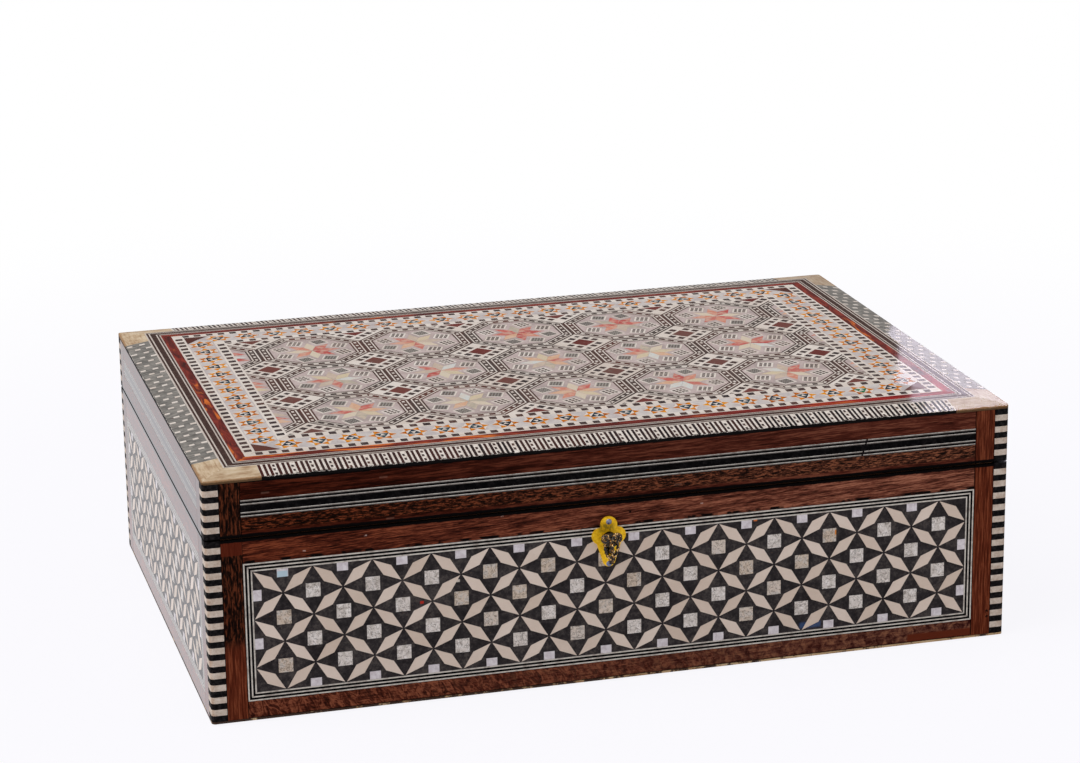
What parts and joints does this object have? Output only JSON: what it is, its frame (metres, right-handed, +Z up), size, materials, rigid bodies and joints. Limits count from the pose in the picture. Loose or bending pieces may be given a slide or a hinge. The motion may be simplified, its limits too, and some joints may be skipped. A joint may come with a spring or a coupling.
{
  "type": "inlaid wooden box",
  "caption": "Hinged jewellery box with star-lattice inlay on its sides, a crowned mosaic lid, a half-mortise lock and a key in its keyhole.",
  "frame": {"origin": "centre of the underside of the felt that the box stands on", "axes": "+X to the right along the length, +Y to the back where the hinges are, +Z up"},
  "size_m": [0.3, 0.2199, 0.0928],
  "materials": {
    "carcass": "oiled, dark",
    "floor_board": "raw softwood",
    "mahogany": "gloss lacquer over red-brown veneer",
    "ebony": "gloss lacquer over black wood",
    "bone": "polished bone under lacquer",
    "pearl": "mother-of-pearl under lacquer",
    "horn": "polished cream horn",
    "tortoiseshell": "gloss, red with orange flames",
    "amber": "gloss orange chips",
    "teal": "gloss dark blue-green chips",
    "rosette": "gloss, coral to cream chips",
    "chequer": "gloss micro-mosaic",
    "velvet": "short pile",
    "felt": "felt",
    "brass": "yellow, lightly scratched",
    "antique_brass": "dark antique casting",
    "steel": "plain"
  },
  "bodies": {
    "base": {"foot_felt": "felt", "base_floor": "floor_board", "base_front_board": "carcass", "base_back_board": "carcass", "base_left_board": "carcass", "base_right_board": "carcass", "base_corner_bone": "bone", "base_corner_ebony": "ebony", "base_rails": "mahogany", "base_stiles": "mahogany", "base_string_bone": "bone", "base_string_ebony": "ebony", "base_front_field": "ebony", "base_back_field": "ebony", "base_side_fields": "ebony", "base_lozenges": "bone", "base_pearls": "pearl", "base_lining": "velvet", "escutcheon": "brass", "escutcheon_nails": "steel", "lock_case": "brass", "lock_cap": "brass", "hinge_base_leaves": "brass", "hinge_pins": "steel", "base_screws": "steel"},
    "lid": {"lid_top_board": "carcass", "lid_front_rim": "carcass", "lid_back_rim": "carcass", "lid_side_rims": "carcass", "lid_corner_bone": "bone", "lid_corner_ebony": "ebony", "lid_rails": "mahogany", "lid_stiles": "mahogany", "lid_string_bone": "bone", "lid_string_ebony": "ebony", "lid_lining": "velvet", "hinge_lid_leaves": "brass", "lid_strike": "brass", "lid_screws": "steel", "top_edge_strips": "bone", "top_corner_plates": "horn", "top_string_bone": "bone", "top_string_ebony": "ebony", "top_tortoiseshell": "tortoiseshell", "top_dash_borders": "bone", "top_star_ground": "pearl", "top_star_points": "amber", "top_star_centres": "bone", "top_star_hearts": "teal", "top_star_corners": "tortoiseshell", "field_ground": "pearl", "field_rings": "bone", "field_petals": "rosette", "field_squares": "chequer", "field_diamonds": "bone"},
    "drill_pin": {"lock_pin": "steel"},
    "key": {"key": "antique_brass"},
    "bolt": {"lock_bolt": "steel"}
  },
  "joints": [
    {"name": "lid_hinge", "type": "hinge", "parent": "base", "child": "lid", "pos_m": [0, 0.0988, 0.06875], "axis": [-1, 0, 0], "range_deg": [0, 98]},
    {"name": "key_turn", "type": "hinge", "parent": "base", "child": "drill_pin", "pos_m": [-0.0042, -0.0915, 0.0552], "axis": [0, -1, 0], "range_deg": [0, 40]},
    {"name": "key_withdraw", "type": "slide", "parent": "drill_pin", "child": "key", "axis": [0, -1, 0], "range_m": [0, 0.03]},
    {"name": "bolt_slide", "type": "slide", "parent": "base", "child": "bolt", "axis": [1, 0, 0], "range_m": [0, 0.003]}
  ],
  "couplings": [
    {"joint": "key_turn", "follows": "bolt_slide", "rad_per_m": 232.7}
  ]
}
